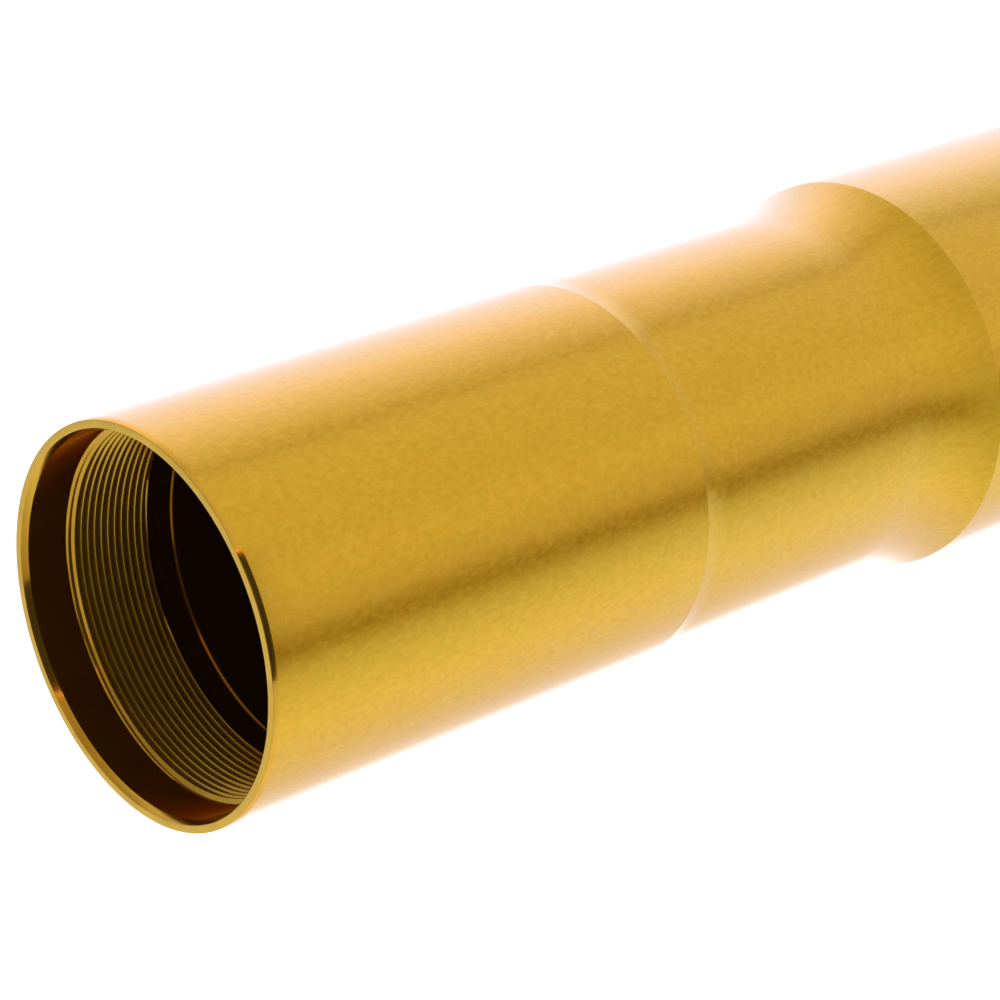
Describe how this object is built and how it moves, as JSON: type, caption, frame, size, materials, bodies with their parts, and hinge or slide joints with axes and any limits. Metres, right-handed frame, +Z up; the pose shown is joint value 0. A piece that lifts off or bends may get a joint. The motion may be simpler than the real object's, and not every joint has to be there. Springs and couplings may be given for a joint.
{
  "type": "fork outer tube",
  "caption": "Gold anodised outer tube of an upside-down motorcycle fork leg: threaded cap mouth, two clamp zones, flare, slide bushes and seals at its foot.",
  "frame": {"origin": "on the tube's axis, in the plane of the dust seal's lower face, which the part stands on", "axes": "+Z runs up the tube's axis from the seal end to the open threaded mouth; X and Y are square to it and free, since the tube is round"},
  "size_m": [0.0596, 0.0596, 0.5],
  "materials": {
    "gold_anodised": "turned aluminium, satin gold anodised, with a fine soft grain along the tube",
    "bush_steel": "plain rolled steel strip, light oil film",
    "bush_liner": "sintered bronze with a grey-brown low-friction overlay",
    "washer_steel": "stamped steel, deburred",
    "clip_steel": "spring steel wire, dark temper",
    "seal_case_steel": "pressed sheet steel, phosphated",
    "oil_seal_rubber": "moulded black nitrile rubber, satin",
    "dust_seal_rubber": "moulded black nitrile rubber, matt",
    "garter_steel": "bright drawn spring wire"
  },
  "bodies": {
    "root": {"outer_tube": "gold_anodised", "upper_bush_back": "bush_steel", "lower_bush_back": "bush_steel", "upper_bush_liner": "bush_liner", "lower_bush_liner": "bush_liner", "seal_backup_washer": "washer_steel", "seal_stopper_ring": "clip_steel", "oil_seal_rubber": "oil_seal_rubber", "dust_seal_rubber": "dust_seal_rubber", "oil_seal_case": "seal_case_steel", "dust_seal_case": "seal_case_steel", "oil_seal_spring": "garter_steel", "dust_seal_spring": "garter_steel"}
  },
  "joints": []
}
